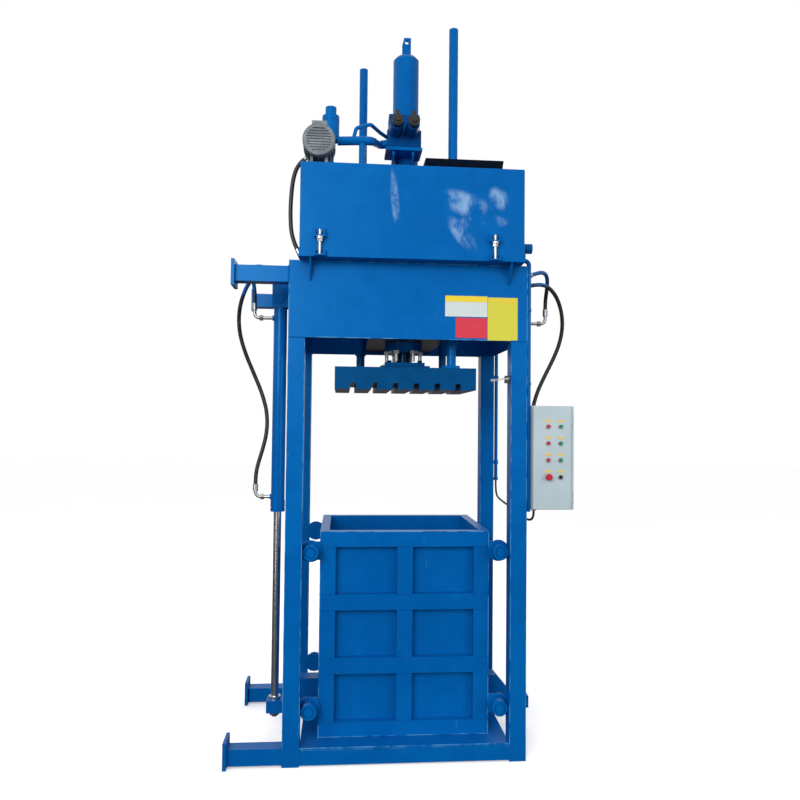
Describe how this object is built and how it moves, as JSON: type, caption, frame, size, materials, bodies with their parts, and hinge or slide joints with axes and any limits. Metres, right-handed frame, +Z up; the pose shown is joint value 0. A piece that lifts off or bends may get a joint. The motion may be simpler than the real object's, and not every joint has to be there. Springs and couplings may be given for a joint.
{
  "type": "vertical recycling baler",
  "caption": "Vertical hydraulic baler: four-post frame, press cylinder with slotted platen, roller-guided lifting bale chamber, oil tank and power pack on the head, side control box.",
  "frame": {"origin": "on the floor, under the middle of the four posts", "axes": "+Z up, +X to the operator's right, -Y towards the operator"},
  "size_m": [2.1729, 1.2259, 4.622],
  "materials": {
    "frame_paint": "strong glossy mid blue paint",
    "tank_paint": "strong glossy mid blue paint, lightly marked",
    "black_paint": "satin near-black paint",
    "cap_metal": "bright cap",
    "bare_steel": "machined steel",
    "zinc": "bright zinc plate",
    "valve_iron": "dark cast body",
    "coil_plastic": "black moulded coil",
    "motor_paint": "grey motor enamel",
    "switch_plastic": "dark moulded switch",
    "box_paint": "light grey-green powder coat",
    "hose_rubber": "black hydraulic hose cover",
    "cable_sheath": "black cable sheath",
    "button_red": "red push button",
    "button_black": "black knob",
    "hard_chrome": "hard chromed rod",
    "button_green": "green push button",
    "roller_steel": "turned steel, oiled"
  },
  "bodies": {
    "frame": {"posts": "frame_paint", "base_frame": "frame_paint", "floor_plate": "frame_paint", "side_arms": "frame_paint", "head_frame": "frame_paint", "tank_shelf": "frame_paint", "tank_shell": "tank_paint", "hatch_cover": "black_paint", "breather_cap": "cap_metal", "main_cylinder": "frame_paint", "cylinder_glands": "bare_steel", "fasteners": "zinc", "manifold_block": "valve_iron", "valve_bodies": "valve_iron", "solenoid_coils": "coil_plastic", "motor_body": "motor_paint", "fan_cowl": "motor_paint", "return_filter": "frame_paint", "pump": "valve_iron", "pipework": "frame_paint", "lift_barrels": "frame_paint", "barrel_brackets": "frame_paint", "hose_fittings": "zinc", "conduit_pipes": "zinc", "side_brackets": "frame_paint", "limit_switch": "switch_plastic", "control_box": "box_paint", "hose_left_upper": "hose_rubber", "hose_left_lower": "hose_rubber", "hose_right_upper": "hose_rubber", "hose_right_lower": "hose_rubber", "tank_hose": "hose_rubber", "control_cable": "cable_sheath"},
    "door": {"control_box_door": "box_paint", "button_bezels": "zinc"},
    "estop": {"estop_button": "button_red"},
    "selector": {"selector_knob": "button_black"},
    "lever": {"limit_lever": "bare_steel"},
    "chamber": {"chamber_liner": "frame_paint", "chamber_ribs": "frame_paint", "lift_arms": "frame_paint", "lift_rods": "hard_chrome", "roller_axles": "bare_steel"},
    "ram": {"platen": "frame_paint", "ram_rod": "hard_chrome", "guide_rods": "bare_steel"},
    "button_red_1_body": {"button_red_1": "button_red"},
    "button_red_2_body": {"button_red_2": "button_red"},
    "button_red_3_body": {"button_red_3": "button_red"},
    "button_green_1_body": {"button_green_1": "button_green"},
    "button_green_2_body": {"button_green_2": "button_green"},
    "button_green_3_body": {"button_green_3": "button_green"},
    "roller_left_front_lower_body": {"roller_left_front_lower": "roller_steel"},
    "roller_left_front_upper_body": {"roller_left_front_upper": "roller_steel"},
    "roller_left_rear_lower_body": {"roller_left_rear_lower": "roller_steel"},
    "roller_left_rear_upper_body": {"roller_left_rear_upper": "roller_steel"},
    "roller_right_front_lower_body": {"roller_right_front_lower": "roller_steel"},
    "roller_right_front_upper_body": {"roller_right_front_upper": "roller_steel"},
    "roller_right_rear_lower_body": {"roller_right_rear_lower": "roller_steel"},
    "roller_right_rear_upper_body": {"roller_right_rear_upper": "roller_steel"}
  },
  "joints": [
    {"name": "ram_press", "type": "slide", "parent": "frame", "child": "ram", "axis": [0, 0, -1], "range_m": [0, 1.45]},
    {"name": "chamber_lift", "type": "slide", "parent": "frame", "child": "chamber", "axis": [0, 0, 1], "range_m": [0, 0.95]},
    {"name": "control_door", "type": "hinge", "parent": "frame", "child": "door", "pos_m": [0.99, -0.543, 1.8], "axis": [0, 0, 1], "range_deg": [0, 110]},
    {"name": "limit_lever_swing", "type": "hinge", "parent": "frame", "child": "lever", "pos_m": [0.606, -0.485, 2.279], "axis": [0, 1, 0], "range_deg": [-25, 25], "stiffness_Nm_per_rad": 0.5},
    {"name": "estop_press", "type": "slide", "parent": "door", "child": "estop", "axis": [0, 1, 0], "range_m": [0, 0.004], "stiffness_N_per_m": 400},
    {"name": "selector_turn", "type": "hinge", "parent": "door", "child": "selector", "pos_m": [0.919, -0.551, 1.689], "axis": [0, 1, 0], "range_deg": [-45, 45]},
    {"name": "button_red_1_press", "type": "slide", "parent": "door", "child": "button_red_1_body", "axis": [0, 1, 0], "range_m": [0, 0.004], "stiffness_N_per_m": 300},
    {"name": "button_red_2_press", "type": "slide", "parent": "door", "child": "button_red_2_body", "axis": [0, 1, 0], "range_m": [0, 0.004], "stiffness_N_per_m": 300},
    {"name": "button_red_3_press", "type": "slide", "parent": "door", "child": "button_red_3_body", "axis": [0, 1, 0], "range_m": [0, 0.004], "stiffness_N_per_m": 300},
    {"name": "button_green_1_press", "type": "slide", "parent": "door", "child": "button_green_1_body", "axis": [0, 1, 0], "range_m": [0, 0.004], "stiffness_N_per_m": 300},
    {"name": "button_green_2_press", "type": "slide", "parent": "door", "child": "button_green_2_body", "axis": [0, 1, 0], "range_m": [0, 0.004], "stiffness_N_per_m": 300},
    {"name": "button_green_3_press", "type": "slide", "parent": "door", "child": "button_green_3_body", "axis": [0, 1, 0], "range_m": [0, 0.004], "stiffness_N_per_m": 300},
    {"name": "roller_left_front_lower_spin", "type": "hinge", "parent": "chamber", "child": "roller_left_front_lower_body", "pos_m": [-0.5715, -0.455, 0.298], "axis": [0, 1, 0], "continuous": true},
    {"name": "roller_left_front_upper_spin", "type": "hinge", "parent": "chamber", "child": "roller_left_front_upper_body", "pos_m": [-0.5715, -0.455, 1.228], "axis": [0, 1, 0], "continuous": true},
    {"name": "roller_left_rear_lower_spin", "type": "hinge", "parent": "chamber", "child": "roller_left_rear_lower_body", "pos_m": [-0.5715, 0.455, 0.298], "axis": [0, 1, 0], "continuous": true},
    {"name": "roller_left_rear_upper_spin", "type": "hinge", "parent": "chamber", "child": "roller_left_rear_upper_body", "pos_m": [-0.5715, 0.455, 1.228], "axis": [0, 1, 0], "continuous": true},
    {"name": "roller_right_front_lower_spin", "type": "hinge", "parent": "chamber", "child": "roller_right_front_lower_body", "pos_m": [0.5715, -0.455, 0.298], "axis": [0, 1, 0], "continuous": true},
    {"name": "roller_right_front_upper_spin", "type": "hinge", "parent": "chamber", "child": "roller_right_front_upper_body", "pos_m": [0.5715, -0.455, 1.228], "axis": [0, 1, 0], "continuous": true},
    {"name": "roller_right_rear_lower_spin", "type": "hinge", "parent": "chamber", "child": "roller_right_rear_lower_body", "pos_m": [0.5715, 0.455, 0.298], "axis": [0, 1, 0], "continuous": true},
    {"name": "roller_right_rear_upper_spin", "type": "hinge", "parent": "chamber", "child": "roller_right_rear_upper_body", "pos_m": [0.5715, 0.455, 1.228], "axis": [0, 1, 0], "continuous": true}
  ],
  "couplings": [
    {"joint": "roller_left_front_lower_spin", "follows": "chamber_lift", "rad_per_m": -20.833},
    {"joint": "roller_left_front_upper_spin", "follows": "chamber_lift", "rad_per_m": -20.833},
    {"joint": "roller_left_rear_lower_spin", "follows": "chamber_lift", "rad_per_m": -20.833},
    {"joint": "roller_left_rear_upper_spin", "follows": "chamber_lift", "rad_per_m": -20.833},
    {"joint": "roller_right_front_lower_spin", "follows": "chamber_lift", "rad_per_m": 20.833},
    {"joint": "roller_right_front_upper_spin", "follows": "chamber_lift", "rad_per_m": 20.833},
    {"joint": "roller_right_rear_lower_spin", "follows": "chamber_lift", "rad_per_m": 20.833},
    {"joint": "roller_right_rear_upper_spin", "follows": "chamber_lift", "rad_per_m": 20.833}
  ]
}
